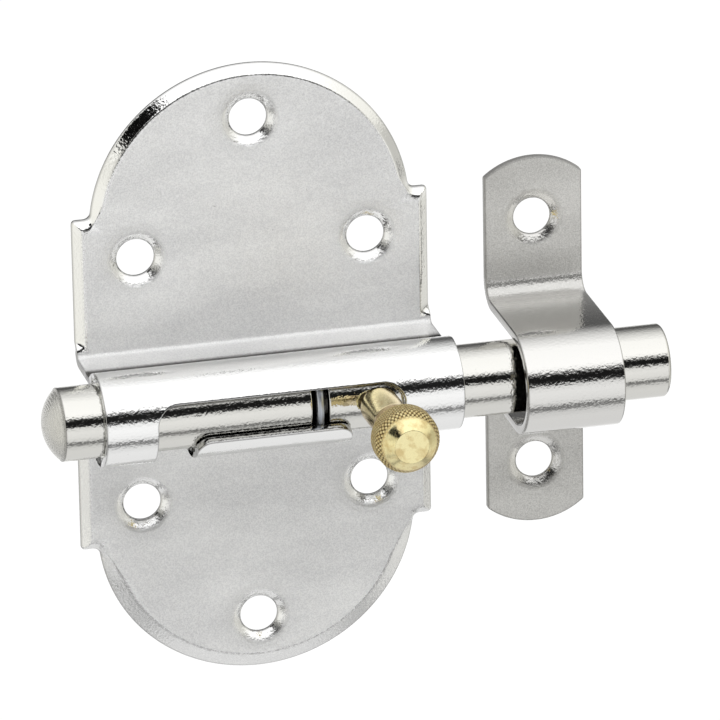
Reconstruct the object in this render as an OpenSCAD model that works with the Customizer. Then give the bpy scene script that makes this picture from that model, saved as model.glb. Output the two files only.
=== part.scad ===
// Spring barrel bolt with a turning knob and a strap keeper.
// X runs along the bolt towards its nose, the wall is the plane Y = 0, the front faces -Y and Z is up.
// The origin is the middle of the plate's screw holes, on the wall plane.

/* [Plate] */
// Thickness of the plate's sheet
sheet_t = 1.3; // [1:0.1:1.5]
// Width of the plate and of the barrel folded out of it
plate_w = 59; // [56:0.5:66]
// Height of the plate over its rounded ends
plate_h = 104.8; // [100:0.2:112]
// Height of the square-sided middle of the plate
band_h = 57; // [54:0.5:60]
// Radius of the rounded ends
end_r = 26.6; // [25:0.1:27.5]
// Distance of the raised field's face from the wall
field_h = 1.9; // [1.7:0.05:2.4]
// Width of the sloping rim round the upper field and along the sides
rim_w = 1.6; // [1.4:0.1:2]
// Width of the sloping rim round the lower end
low_rim_w = 2.6; // [1.6:0.1:3]
// Height of the cut edge at the foot of the rim
rim_foot = 0.35; // [0.2:0.05:0.6]
// Radius that softens the edge between field and rim
rim_round = 0.9; // [0.4:0.1:1.2]

/* [Screw holes in the plate] */
// Diameter of the clear holes
hole_d = 6.2; // [5:0.1:6.6]
// Diameter of the countersinks at the field's face
sink_d = 9.4; // [8.6:0.1:10]
// Depth of the countersinks
sink_depth = 1.2; // [0.8:0.05:1.4]
// Wall of the dimple round each countersink
dimple_wall = 0.9; // [0.5:0.1:1.2]
// Height of the top and bottom holes above and below the middle
end_hole_z = 43.2; // [41:0.1:44]
// Sideways distance of the four inner holes from the middle
side_hole_x = 19.1; // [17:0.1:21]
// Height of the four inner holes above and below the middle
side_hole_z = 21.2; // [17:0.1:22.5]

/* [Barrel] */
// Diameter of the bolt's rod
rod_d = 12; // [11:0.1:12.6]
// Distance of the bolt's axis from the wall
axis_out = 16; // [15:0.1:18]
// Gap between rod and barrel, all round
rod_gap = 0.3; // [0.2:0.05:0.4]
// Inside height of the two legs that join the barrel to the fields
leg_gap = 8.2; // [7:0.1:8.6]
// Inside radius of the fold between each field and its leg
fold_r = 1; // [0.6:0.1:1.6]

/* [Window in the barrel] */
// Left end of the window, along the bolt
window_left = -21; // [-22:0.1:-20]
// Right end of the window, along the bolt
window_right = 19.6; // [19:0.1:21]
// Width of the notch at the left end
left_notch_w = 6.6; // [6.2:0.1:7]
// Width of the notch at the right end
right_notch_w = 8.3; // [8:0.1:9]
// Width of the slot above the lip, across the bolt
slot_w = 7; // [6.6:0.1:7.4]
// Height of the slot's middle above the bolt's axis
slot_z = 0.3; // [0:0.05:0.4]
// Radius of the window's upper corners
window_round = 3.4; // [2:0.1:3.5]
// Radius of the lip's upper corners
lip_round = 2.4; // [1:0.1:3]
// Reach of the notches behind the bolt's axis
notch_back = 3; // [2.9:0.05:3.3]

/* [Bolt rod] */
// Left edge of the rod, at the tail
tail_x = -35.9; // [-38:0.1:-34]
// Reach of the rod's nose past the keeper
nose_past = 9.3; // [7:0.1:12]
// Height of the tail's dome
tail_dome = 2.6; // [1:0.1:3]
// Height of the nose's dome
nose_dome = 0.8; // [0.4:0.1:1.5]
// Flat land left round each dome
end_land = 0.2; // [0.1:0.05:0.5]
// Chamfer at the nose
nose_bevel = 0.5; // [0.3:0.05:1]
// Middle of the ring groove, along the bolt
groove_x = 6; // [4:0.1:7]
// Width of the ring groove
groove_w = 2.8; // [2.4:0.1:3.2]

/* [Spring ring] */
// Diameter of the ring's wire
ring_wire = 1.35; // [1:0.05:1.5]
// Gap between the ring and the barrel
ring_gap = 0.1; // [0.05:0.01:0.15]
// Gap between the ring and the bottom of its groove
ring_seat = 0.15; // [0.1:0.01:0.3]
// Angle left open between the ring's ends
ring_open = 50; // [30:5:70]

/* [Knob] */
// Middle of the knob, along the bolt
knob_x = 15.3; // [14.6:0.1:16]
// Angle of the knob from straight down, towards the front
knob_angle = 92; // [91:0.5:94]
// Diameter of the screwed neck
neck_d = 5; // [4:0.1:5]
// Gap round the neck in the rod's tapped hole
neck_gap = 0.08; // [0.05:0.01:0.15]
// Depth of the tapped hole below the rod's axis
tap_past = 2; // [1:0.1:3]
// Length of the neck that the hole leaves free at its bottom
tap_spare = 1; // [0.5:0.1:2]
// Length of neck left bare between the rod and the stem's shoulder
neck_len = 1.3; // [0.8:0.1:2]
// Diameter of the plain stem
stem_d = 6.1; // [5.6:0.1:6.4]
// Length of the plain stem
stem_len = 9.1; // [7:0.1:10]
// Bevel at the stem's shoulder
stem_bevel = 0.4; // [0.2:0.05:0.5]
// Length of the flared bell
bell_len = 5.8; // [4:0.1:7]
// Diameter of the knurled head
head_d = 10.6; // [9:0.1:12]
// Length of the head's straight part
head_len = 3.1; // [2:0.1:5]
// Length of the head's tapered end
taper_len = 2.8; // [2:0.1:4]
// Bulge of the tapered end over a straight taper
taper_bulge = 0.3; // [0:0.05:0.5]
// Diameter of the flat at the head's end
end_d = 5.6; // [4:0.1:7]

/* [Keeper] */
// Thickness of the keeper's strap
strap_t = 1.5; // [1.2:0.1:1.8]
// Width of the strap
strap_w = 16.3; // [14:0.1:18]
// Height of the keeper over its two ends
keeper_h = 63.6; // [60:0.2:68]
// Middle of the keeper, along the bolt
keeper_x = 47.1; // [45:0.1:50]
// Height of the keeper's holes above and below the bolt
keeper_hole_z = 21.3; // [20:0.1:23]
// Diameter of the keeper's clear holes
keeper_hole_d = 5.6; // [4.6:0.1:6]
// Diameter of the keeper's countersinks
keeper_sink_d = 9.4; // [8:0.1:10]
// Depth of the keeper's countersinks
keeper_sink_depth = 1; // [0.6:0.05:1.1]
// Gap between rod and loop, above and below
loop_gap = 1; // [0.6:0.1:1.4]
// Distance of the loop's middle in front of the bolt's axis
loop_reach = 3; // [0:0.1:4]
// Inside radius of the bends between the loop and its flanges
bend_r = 3; // [2:0.1:4]
// Radius of the flanges' arc-cut ends
strap_end_r = 12.6; // [10:0.1:16]

/* [Hidden] */
$fn = 96;
NICKEL = [0.80, 0.80, 0.78];
STEEL = [0.62, 0.65, 0.70];
BRASS = [0.80, 0.68, 0.38];
// a little more than a flush cut, so that no skin is left
over = 1;
rod_r = rod_d / 2;
nose_x = keeper_x + strap_w / 2 + nose_past;
bore_r = rod_r + rod_gap;
barrel_r = bore_r + sheet_t;
leg_z = leg_gap / 2;
end_z = plate_h / 2 - end_r;
// middle of the fold's radius, seen along X
fold_y = -field_h - fold_r;
fold_z = leg_z + sheet_t + fold_r;
groove_r = bore_r - ring_gap - ring_wire - ring_seat;
neck_r = neck_d / 2;
stem_from = rod_r + neck_len;
bell_from = stem_from + stem_len;
head_from = bell_from + bell_len;
taper_from = head_from + head_len;
knob_end = taper_from + taper_len;
loop_r = rod_r + loop_gap;
loop_y = -(axis_out + loop_reach);

// Profile of a raised face from its middle out to its sloping rim; x is the distance out, y the height
function rim_points(out, w, h) =
    let (slope = atan((h - rim_foot) / w), back = rim_round * tan(slope / 2), mid = out - w - back)
    concat(
        [[0, 0], [out, 0], [out, rim_foot]],
        [for (k = [0:4]) let (a = 90 - slope + slope * k / 4)
            [mid + rim_round * cos(a), h - rim_round + rim_round * sin(a)]],
        [[0, h]]
    );

// The same face's underside, one sheet thickness in
function hollow_points(out, w, h) =
    let (slope = atan((h - rim_foot) / w), lid = h - sheet_t, corner = out - w - sheet_t * tan(slope / 2))
    [[0, -over], [corner + (lid + over) / tan(slope), -over], [corner, lid], [0, lid]];

// Turns a profile about an axis that points to the front
module front_disc(points) {
    rotate([90, 0, 0]) rotate_extrude() polygon(points);
}

// Runs a profile and its mirror image along Z
module upright_bar(points, low, high) {
    for (side = [0, 1])
        mirror([side, 0, 0])
            translate([0, 0, low]) linear_extrude(high - low) scale([1, -1]) polygon(points);
}

// Runs a profile across the plate, with its rim at the top
module cross_bar(points, half_w) {
    translate([-half_w, 0, 0]) rotate([90, 0, 90]) linear_extrude(2 * half_w)
        rotate([0, 0, 90]) polygon(points);
}

// Solid outline of one field, or of the hollow behind it
module field_outline(side_points, top_points, end_points, low) {
    intersection() {
        upright_bar(side_points, low, band_h);
        cross_bar(top_points, plate_w);
    }
    intersection() {
        translate([0, 0, end_z]) front_disc(end_points);
        translate([-plate_w, -plate_w, low]) cube([2 * plate_w, 2 * plate_w, plate_h]);
    }
}

// One raised field with its rim; the lower one is this one upside down
module field(end_rim_w) {
    difference() {
        field_outline(
            rim_points(plate_w / 2, rim_w, field_h),
            rim_points(band_h / 2, rim_w, field_h),
            rim_points(end_r, end_rim_w, field_h),
            fold_z
        );
        field_outline(
            hollow_points(plate_w / 2, rim_w, field_h),
            hollow_points(band_h / 2, rim_w, field_h),
            hollow_points(end_r, end_rim_w, field_h),
            fold_z - over
        );
    }
    field_holes() dimple();
}

// Puts its child at the three holes of the upper field
module field_holes() {
    translate([0, 0, end_hole_z]) children();
    for (side = [-1, 1])
        translate([side * side_hole_x, 0, side_hole_z]) children();
}

// Sheet pressed back to the wall round a countersink
module dimple() {
    rotate([90, 0, 0]) cylinder(h = field_h - sheet_t / 2, r = sink_d / 2 + dimple_wall - sheet_t / 2);
}

// Countersunk through hole, cut from the front
module screw_hole(clear_d, head_d, depth, face) {
    grow = (head_d - clear_d) / depth;
    rotate([90, 0, 0]) translate([0, 0, -over]) cylinder(h = face + 2 * over, d = clear_d);
    rotate([90, 0, 0]) translate([0, 0, face - depth])
        cylinder(h = depth + over, d1 = clear_d, d2 = head_d + grow * over);
}

// Quarter of the bend between a field and its leg
module fold_section() {
    intersection() {
        translate([fold_y, fold_z]) difference() {
            circle(fold_r + sheet_t);
            circle(fold_r);
        }
        translate([fold_y, fold_z - plate_h]) square([plate_h, plate_h]);
    }
}

// The barrel and its legs, seen along the bolt
module barrel_section() {
    difference() {
        union() {
            translate([-axis_out, 0]) circle(barrel_r);
            translate([-axis_out, -leg_z - sheet_t]) square([axis_out + fold_y, leg_gap + 2 * sheet_t]);
        }
        translate([-axis_out, 0]) circle(bore_r);
        translate([-axis_out, -leg_z]) square([axis_out + over, leg_gap]);
    }
    fold_section();
    mirror([0, 1]) fold_section();
}

// Rectangle whose upper two corners are rounded
module arched(left, right, low, high, r) {
    translate([left, low]) square([right - left, high - low - r]);
    translate([left + r, low]) square([right - left - 2 * r, high - low]);
    for (x = [left + r, right - r])
        translate([x, high - r]) circle(r);
}

// Window over the lip, as seen from the front of the barrel
module window_shape() {
    difference() {
        arched(window_left, window_right, -2 * barrel_r, slot_w / 2, window_round);
        arched(
            window_left + left_notch_w, window_right - right_notch_w,
            -3 * barrel_r, -slot_w / 2, lip_round
        );
    }
}

module window_cut() {
    translate([0, notch_back - axis_out, slot_z]) rotate([90, 0, 0])
        linear_extrude(2 * barrel_r) window_shape();
}

// One sheet: two raised fields, folded forward between them into the barrel
module barrel_plate() {
    color(NICKEL) difference() {
        union() {
            field(rim_w);
            mirror([0, 0, 1]) field(low_rim_w);
            difference() {
                translate([-plate_w / 2, 0, 0]) rotate([90, 0, 90]) linear_extrude(plate_w) barrel_section();
                window_cut();
            }
        }
        for (up = [0, 1])
            mirror([0, 0, up]) field_holes() screw_hole(hole_d, sink_d, sink_depth, field_h);
    }
}

// The strap's bends and loop, seen along the bolt
module strap_section() {
    flange_z = loop_r + strap_t + bend_r;
    difference() {
        union() {
            translate([loop_y, 0]) circle(loop_r + strap_t);
            translate([loop_y, -loop_r - strap_t])
                square([-loop_y - strap_t - bend_r, 2 * (loop_r + strap_t)]);
        }
        translate([loop_y, 0]) circle(loop_r);
        translate([loop_y, -loop_r]) square([-loop_y + over, 2 * loop_r]);
    }
    for (up = [0, 1]) mirror([0, up]) {
        intersection() {
            translate([-strap_t - bend_r, flange_z]) difference() {
                circle(bend_r + strap_t);
                circle(bend_r);
            }
            translate([-strap_t - bend_r, flange_z - keeper_h]) square([keeper_h, keeper_h]);
        }
        translate([-strap_t, flange_z]) square([strap_t, keeper_h / 2 - flange_z]);
    }
}

// The flanges' outline, with arc-cut ends, as seen from the front
module strap_outline() {
    middle = keeper_h / 2 - strap_end_r;
    difference() {
        square([strap_w, keeper_h], center = true);
        for (up = [0, 1]) mirror([0, up]) difference() {
            translate([-strap_w, middle]) square([2 * strap_w, keeper_h]);
            translate([0, middle]) circle(strap_end_r);
        }
    }
}

module keeper() {
    color(NICKEL) translate([keeper_x, 0, 0]) difference() {
        intersection() {
            translate([-strap_w / 2, 0, 0]) rotate([90, 0, 90]) linear_extrude(strap_w) strap_section();
            translate([0, over, 0]) rotate([90, 0, 0])
                linear_extrude(over - loop_y + 2 * loop_r) strap_outline();
        }
        for (z = [-keeper_hole_z, keeper_hole_z])
            translate([0, 0, z]) screw_hole(keeper_hole_d, keeper_sink_d, keeper_sink_depth, strap_t);
    }
}

// A dome over a round end: the cap of a ball of the given base radius and height
module dome_section(base_r, height) {
    ball_r = (base_r * base_r + height * height) / (2 * height);
    intersection() {
        translate([0, height - ball_r]) circle(ball_r);
        square([rod_d, ball_r]);
    }
}

// Half of the rod's section; x is the radius and y runs along the rod
module rod_section() {
    difference() {
        union() {
            polygon([
                [0, tail_x],
                [rod_r, tail_x],
                [rod_r, nose_x - nose_bevel],
                [rod_r - nose_bevel, nose_x],
                [0, nose_x],
            ]);
            translate([0, nose_x]) dome_section(rod_r - nose_bevel - end_land, nose_dome);
            translate([0, tail_x]) mirror([0, 1]) dome_section(rod_r - end_land, tail_dome);
        }
        translate([groove_r, groove_x - groove_w / 2]) square([rod_d, groove_w]);
    }
}

// Points along the knob, away from the rod's axis
module along_knob() {
    translate([knob_x, 0, 0]) rotate([180 - knob_angle, 0, 0]) children();
}

module bolt_rod() {
    color(NICKEL) translate([0, -axis_out, 0]) difference() {
        rotate([0, 90, 0]) rotate_extrude() rod_section();
        along_knob() translate([0, 0, -tap_past]) cylinder(h = tap_past + rod_d, r = neck_r + neck_gap);
    }
}

// Split ring of spring wire that keeps the rod from rattling in the barrel
module spring_ring() {
    color(STEEL) translate([groove_x, -axis_out, 0]) rotate([0, 90, 0]) rotate([0, 0, ring_open / 2])
        rotate_extrude(angle = 360 - ring_open)
            translate([bore_r - ring_gap - ring_wire / 2, 0]) circle(d = ring_wire);
}

// Turned brass knob with its screwed neck
module knob() {
    color(BRASS) translate([0, -axis_out, 0]) along_knob() rotate_extrude() polygon([
        [0, tap_spare - tap_past],
        [neck_r, tap_spare - tap_past],
        [neck_r, stem_from],
        [stem_d / 2 - stem_bevel, stem_from],
        [stem_d / 2, stem_from + stem_bevel],
        [stem_d / 2, bell_from],
        [head_d / 2, head_from],
        [head_d / 2, taper_from],
        [(head_d + end_d) / 4 + taper_bulge, taper_from + taper_len / 2],
        [end_d / 2, knob_end],
        [0, knob_end],
    ]);
}

barrel_plate();
keeper();
bolt_rod();
spring_ring();
knob();
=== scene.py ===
"""Spring barrel bolt: detailed pieces, finishes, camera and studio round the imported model.

Sizes are in millimetres and become metres when a mesh is finished. X runs along the bolt,
the wall is the plane Y = 0, the front faces -Y and Z is up.
"""

import itertools
import logging
import math
from dataclasses import dataclass
from enum import Enum
from typing import Callable, Sequence

import bmesh
import bpy
from mathutils import Matrix, Vector
from mathutils.geometry import delaunay_2d_cdt
from mathutils.kdtree import KDTree

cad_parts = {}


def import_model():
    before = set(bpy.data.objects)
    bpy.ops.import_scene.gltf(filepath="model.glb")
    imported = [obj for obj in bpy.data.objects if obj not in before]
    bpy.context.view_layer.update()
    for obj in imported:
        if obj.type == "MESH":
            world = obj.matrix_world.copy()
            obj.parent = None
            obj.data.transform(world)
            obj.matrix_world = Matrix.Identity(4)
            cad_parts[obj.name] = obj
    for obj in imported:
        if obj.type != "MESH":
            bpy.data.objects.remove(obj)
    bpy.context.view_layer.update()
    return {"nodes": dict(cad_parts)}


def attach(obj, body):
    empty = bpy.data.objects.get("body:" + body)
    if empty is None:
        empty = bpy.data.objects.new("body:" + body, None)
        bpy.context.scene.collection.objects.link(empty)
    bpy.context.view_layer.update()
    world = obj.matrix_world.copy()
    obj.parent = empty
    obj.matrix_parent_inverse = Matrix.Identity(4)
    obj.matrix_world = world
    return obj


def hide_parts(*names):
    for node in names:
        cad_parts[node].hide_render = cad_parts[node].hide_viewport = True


LOG = logging.getLogger("barrel_bolt")
MM = 0.001
# distance from the wall to the bolt's axis, in millimetres
AXIS_OUT = 16.0

Colour = tuple[float, float, float, float]
WHITE: Colour = (1.0, 1.0, 1.0, 1.0)
Pairs = Sequence[tuple[float, float]]
Layer = bmesh.types.BMLayerItem
Mesh = bmesh.types.BMesh
Piece = bpy.types.Object
Material = bpy.types.Material
Tree = bpy.types.NodeTree
Node = bpy.types.Node
Socket = bpy.types.NodeSocket


class Slot(Enum):
    """The record's material slots."""

    SHEET = "nickel_sheet"
    STRAP = "nickel_strap"
    ROD = "nickel_rod"
    WIRE = "spring_steel"
    BRASS = "turned_brass"


def linear(code: str) -> Colour:
    """Turn an sRGB hex colour to linear.

    Args:
        code: the colour as RRGGBB.

    Returns:
        Linear red, green, blue and an alpha of 1.
    """
    parts = [int(code[i : i + 2], 16) / 255 for i in (0, 2, 4)]
    red, green, blue = (v / 12.92 if v <= 0.04045 else ((v + 0.055) / 1.055) ** 2.4 for v in parts)
    return (red, green, blue, 1.0)


def set_inputs(tree: Tree, node: Node, **sockets: object) -> None:
    """Give a node's inputs their values and links.

    Args:
        tree: the node's tree.
        node: the node.
        sockets: a value, or an output to link from, for each named or numbered input;
            underscores stand for spaces, and i0, i1 and so on for inputs by number.
    """
    for name, value in sockets.items():
        numbered = name[0] == "i" and name[1:].isdigit()
        socket = node.inputs[int(name[1:]) if numbered else name.replace("_", " ")]
        if isinstance(value, Socket):
            tree.links.new(value, socket)
        else:
            socket.default_value = value


def add_node(tree: Tree, kind: str, settings: dict | None = None, **sockets: object) -> Node:
    """Add one node with its settings, socket values and links.

    Args:
        tree: the tree that gets the node.
        kind: the node's type name.
        settings: properties of the node itself.
        sockets: its inputs, as for set_inputs.

    Returns:
        The new node.
    """
    node = tree.nodes.new(kind)
    for name, value in (settings or {}).items():
        setattr(node, name, value)
    set_inputs(tree, node, **sockets)
    return node


def add_math(tree: Tree, operation: str, *values: Socket | float) -> Socket:
    """Do one step of arithmetic on up to three values."""
    inputs = {f"i{index}": value for index, value in enumerate(values)}
    return add_node(tree, "ShaderNodeMath", {"operation": operation}, **inputs).outputs[0]


def add_range(
    tree: Tree, value: Socket, start: float, end: float, low: float = 0.0, high: float = 1.0
) -> Socket:
    """Carry the stretch from start to end over to that from low to high, held at its ends."""
    limits = {"From_Min": start, "From_Max": end, "To_Min": low, "To_Max": high}
    return add_node(tree, "ShaderNodeMapRange", Value=value, **limits).outputs[0]


def add_mix(
    tree: Tree, factor: Socket, first: Socket | Colour, second: Socket | Colour, blend: str = "MIX"
) -> Socket:
    """Go from one colour to a second by a factor."""
    settings = {"data_type": "RGBA", "blend_type": blend}
    return add_node(tree, "ShaderNodeMix", settings, Factor=factor, i6=first, i7=second).outputs[2]


def add_noise(
    tree: Tree, place: Socket, size_mm: float, detail: float, roughness: float = 0.5
) -> Socket:
    """Lay noise over the piece, with its largest features near a size in millimetres."""
    settings = {"Scale": 1 / (size_mm * MM), "Detail": detail, "Roughness": roughness}
    return add_node(tree, "ShaderNodeTexNoise", i0=place, **settings).outputs["Fac"]


def add_mapping(
    tree: Tree,
    place: Socket,
    location: Sequence[float] = (0.0, 0.0, 0.0),
    scale: Sequence[float] = (1.0, 1.0, 1.0),
) -> Socket:
    """Move and scale the coordinates of a pattern.

    Args:
        tree: the tree that gets the node.
        place: the coordinates.
        location: how far they are moved.
        scale: how much they are stretched.

    Returns:
        The moved and stretched coordinates.
    """
    return add_node(
        tree, "ShaderNodeMapping", Vector=place, Location=location, Scale=scale
    ).outputs[0]


def add_bump(tree: Tree, height: Socket, depth: Socket | float, **sockets: Socket) -> Socket:
    """Raise a pattern by a depth in metres."""
    settings = {"Strength": 1.0, "Distance": depth, "Height": height}
    return add_node(tree, "ShaderNodeBump", **settings, **sockets).outputs[0]


def add_ramp(tree: Tree, source: Socket, stops: Pairs) -> Socket:
    """Add a grey ramp.

    Args:
        tree: the tree that gets the ramp.
        source: what the ramp reads.
        stops: position and grey level of each stop, in order.

    Returns:
        The ramp's colour output.
    """
    ramp = add_node(tree, "ShaderNodeValToRGB", i0=source)
    elements = ramp.color_ramp.elements
    while len(elements) < len(stops):
        elements.new(0.5)
    for element, (position, grey) in zip(elements, stops):
        element.position = position
        element.color = (grey, grey, grey, 1.0)
    return ramp.outputs[0]


def layer_of(tree: Tree, name: str) -> Socket:
    """Read one of the layers that the pieces carry on their points."""
    return add_node(tree, "ShaderNodeAttribute", {"attribute_name": name}).outputs["Fac"]


def own_place(tree: Tree) -> Socket:
    """Read the piece's own coordinates."""
    return add_node(tree, "ShaderNodeTexCoord").outputs["Object"]


def new_material(name: str) -> tuple[Material, Tree, Node]:
    """Make a material with an empty tree but for its shader and output.

    Args:
        name: the material's name.

    Returns:
        The material, its tree and its Principled shader.
    """
    material = bpy.data.materials.new(name)
    material.use_nodes = True
    tree = material.node_tree
    return material, tree, tree.nodes["Principled BSDF"]


@dataclass(frozen=True)
class NickelPlate:
    """Bright nickel plated over pressed or turned steel.

    The plate keeps the steel's fine grain, so the polished parts give clear reflections whose
    edges break into speckles, and the unpolished parts a soft, even grey. Creases, grooves and cut
    edges are darkened with painted shade.
    """

    name: str
    colour: str = "F8F8F7"
    dull: str = "D3D3D4"
    pit: str = "8D8A84"
    painted_shade_colour: str = "1E1914"
    polished: float = 0.06
    satin: float = 0.42
    polished_grain_mm: float = 0.032
    satin_grain_mm: float = 0.09
    satin_metal: float = 0.5
    grain_mm: float = 0.42
    speck_mm: float = 0.22
    pit_mm: float = 1.4
    streak_mm: float = 9.0
    streak_level: float = 0.4
    turned_ends: bool = False
    ring_mm: float = 0.42
    ring_depth_mm: float = 0.018
    ring_wobble: float = 6.0
    wobble_mm: float = 0.9
    # how much the grain adds to the roughness, from least to most
    ripple: tuple[float, float] = (-0.02, 0.04)
    # the rod's middle, and how far from it the rings begin
    middle_mm: float = 14.325
    plain_mm: float = 50.15

    def add_rings(self, tree: Tree, place: Socket) -> Socket:
        """Add the tool's rings on the rod's two ends.

        Args:
            tree: the material's tree.
            place: object coordinates.

        Returns:
            The rings' height.
        """
        across = add_mapping(tree, place, (0.0, AXIS_OUT * MM, 0.0), (0.0, 1.0, 1.0))
        length = add_node(tree, "ShaderNodeVectorMath", {"operation": "LENGTH"}, i0=across)
        feed = add_math(tree, "MULTIPLY", length.outputs["Value"], math.tau / (self.ring_mm * MM))
        wobble = add_noise(tree, place, self.wobble_mm, 2.0)
        phase = add_math(tree, "MULTIPLY_ADD", wobble, self.ring_wobble, feed)
        centred = add_mapping(tree, place, (-self.middle_mm * MM, 0.0, 0.0))
        along = add_node(tree, "ShaderNodeSeparateXYZ", i0=centred).outputs[0]
        away = add_math(tree, "ABSOLUTE", along)
        at_end = add_range(tree, away, self.plain_mm * MM, (self.plain_mm + 0.2) * MM)
        return add_math(tree, "MULTIPLY", add_math(tree, "SINE", phase), at_end)

    def add_colour(self, tree: Tree, place: Socket, polish: Socket) -> Socket:
        """Add the colour: dull to bright by polish, streaks and specks, then pits and painted
        shade.

        Args:
            tree: the material's tree.
            place: object coordinates.
            polish: how polished the plate is.

        Returns:
            The colour.
        """
        # faint streaks along the strip, as rolling and wiping leave them
        drawn_out = add_mapping(tree, place, scale=(0.4, 1.0, 1.0))
        streak = add_noise(tree, drawn_out, self.streak_mm, 3.0)
        speck = add_noise(tree, place, self.speck_mm, 2.0, 0.8)
        specks = add_ramp(tree, speck, ((0.0, 0.0), (0.36, 0.0), (0.64, 0.65), (1.0, 0.65)))
        wiped = add_range(tree, streak, 0.34, 0.66)
        mottle = add_math(tree, "MULTIPLY_ADD", wiped, self.streak_level, specks)
        clear = add_math(tree, "MAXIMUM", mottle, polish)
        tint = add_mix(tree, clear, linear(self.dull), linear(self.colour))
        pits = add_noise(tree, place, self.pit_mm, 5.0, 0.85)
        pitted = add_ramp(tree, pits, ((0.0, 1.0), (0.27, 1.0), (0.31, 0.0), (1.0, 0.0)))
        dotted = add_mix(tree, pitted, tint, linear(self.pit))
        # painted shade: the dark colour laid, by the layer, into creases, grooves and along cut
        # edges
        return add_mix(tree, layer_of(tree, "hollow"), dotted, linear(self.painted_shade_colour))

    def make(self) -> Material:
        """Build the material.

        Returns:
            The material, ready for a piece.
        """
        material, tree, shader = new_material(self.name)
        place, polish = own_place(tree), layer_of(tree, "polish")
        # the grain is really near 0.05 mm; it is drawn coarser so that it shows
        grain = add_noise(tree, place, self.grain_mm, 1.0)
        depths = self.satin_grain_mm * MM, self.polished_grain_mm * MM
        bump = add_bump(tree, grain, add_range(tree, polish, 0.0, 1.0, *depths))
        if self.turned_ends:
            rings = self.add_rings(tree, place)
            bump = add_bump(tree, rings, self.ring_depth_mm * MM, Normal=bump)
        level = add_range(tree, polish, 0.0, 1.0, self.satin, self.polished)
        ripple = add_range(tree, grain, 0.3, 0.7, *self.ripple)
        # the unpolished plate scatters part of its light, which evens out what it mirrors
        metal = add_range(tree, polish, 0.0, 1.0, self.satin_metal, 1.0)
        set_inputs(
            tree, shader, Base_Color=self.add_colour(tree, place, polish), Metallic=metal,
            Roughness=add_math(tree, "ADD", level, ripple), Normal=bump,
        )
        return material


@dataclass(frozen=True)
class TurnedBrass:
    """Free-cutting brass as it leaves the lathe.

    It is pale and yellow where it faces the view and browner towards its outline, by painted
    shade; browner also where fingers wear it, dark in the grooves by painted shade, and crossed by
    the fine rings of the tool.
    """

    name: str = "turned_brass"
    pale: str = "F6EBB6"
    deep: str = "B58D48"
    painted_shade_colour: str = "4A3316"
    ring_mm: float = 0.5
    ring_wobble: float = 12.0
    ring_level: float = 0.11
    ring_depth_mm: float = 0.018
    stain_mm: float = 1.5
    grain_mm: float = 0.35
    rough: tuple[float, float] = (0.12, 0.24)
    worn_rough: float = 0.2

    def make(self) -> Material:
        """Build the material.

        Returns:
            The material, ready for a piece.
        """
        material, tree, shader = new_material(self.name)
        along, hollow, worn = (layer_of(tree, name) for name in ("along", "hollow", "worn"))
        place = own_place(tree)
        cloud = add_noise(tree, place, self.stain_mm, 3.0)
        grain = add_noise(tree, place, self.grain_mm, 2.0)
        # feed marks at 0.1 mm would vanish, so they are drawn several times as coarse
        feed = add_math(tree, "MULTIPLY", along, math.tau / (self.ring_mm * MM))
        phase = add_math(tree, "MULTIPLY_ADD", cloud, self.ring_wobble, feed)
        mark = add_math(tree, "MULTIPLY_ADD", add_math(tree, "SINE", phase), self.ring_level, grain)
        # painted shade: browner towards the outline, where the surface turns away from the view
        facing = add_node(tree, "ShaderNodeLayerWeight", Blend=0.5).outputs["Facing"]
        edge = add_ramp(tree, facing, ((0.0, 0.0), (0.55, 0.12), (0.85, 0.55), (1.0, 1.0)))
        stain = add_ramp(tree, cloud, ((0.0, 0.6), (0.36, 0.45), (0.55, 0.0), (1.0, 0.0)))
        touch = add_ramp(tree, grain, ((0.0, 0.75), (0.4, 0.6), (0.6, 0.2), (1.0, 0.1)))
        handled = add_math(tree, "MULTIPLY", worn, touch)
        shade_stain_and_wear = add_math(tree, "MAXIMUM", edge, add_math(tree, "MAXIMUM", stain, handled))
        body = add_mix(tree, shade_stain_and_wear, linear(self.pale), linear(self.deep))
        bright = add_range(tree, grain, 0.3, 0.7, *self.rough)
        # painted shade in the knurl's grooves and on the neck under the bolt
        set_inputs(
            tree, shader, Metallic=1.0, Base_Color=add_mix(tree, hollow, body, linear(self.painted_shade_colour)),
            Roughness=add_math(tree, "MULTIPLY_ADD", worn, self.worn_rough, bright),
            Normal=add_bump(tree, mark, self.ring_depth_mm * MM),
        )
        return material


@dataclass(frozen=True)
class SpringWire:
    """Bright drawn spring wire: smooth, with faint lines from the drawing die."""

    name: str = "drawn_spring_wire"
    colour: str = "C3C8D0"
    line_mm: float = 0.15
    rough: tuple[float, float] = (0.28, 0.45)

    def make(self) -> Material:
        """Build the material.

        Returns:
            The material, ready for a piece.
        """
        material, tree, shader = new_material(self.name)
        drawn = add_mapping(tree, own_place(tree), scale=(1.0, 0.1, 0.1))
        lines = add_noise(tree, drawn, self.line_mm, 2.0)
        rough = add_range(tree, lines, 0.0, 1.0, *self.rough)
        set_inputs(tree, shader, Metallic=1.0, Base_Color=linear(self.colour), Roughness=rough)
        return material


def new_piece(name: str, bm: Mesh, material: Material) -> Piece:
    """Turn a bmesh in millimetres into a smooth-shaded piece in metres.

    Args:
        name: the piece's name.
        bm: its bmesh, which is freed.
        material: its finish.

    Returns:
        The linked object.
    """
    bmesh.ops.scale(bm, vec=Vector((MM, MM, MM)), verts=bm.verts)
    mesh = bpy.data.meshes.new(name)
    bm.to_mesh(mesh)
    bm.free()
    mesh.materials.append(material)
    mesh.shade_smooth()
    piece = bpy.data.objects.new(name, mesh)
    bpy.context.scene.collection.objects.link(piece)
    return piece


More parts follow.
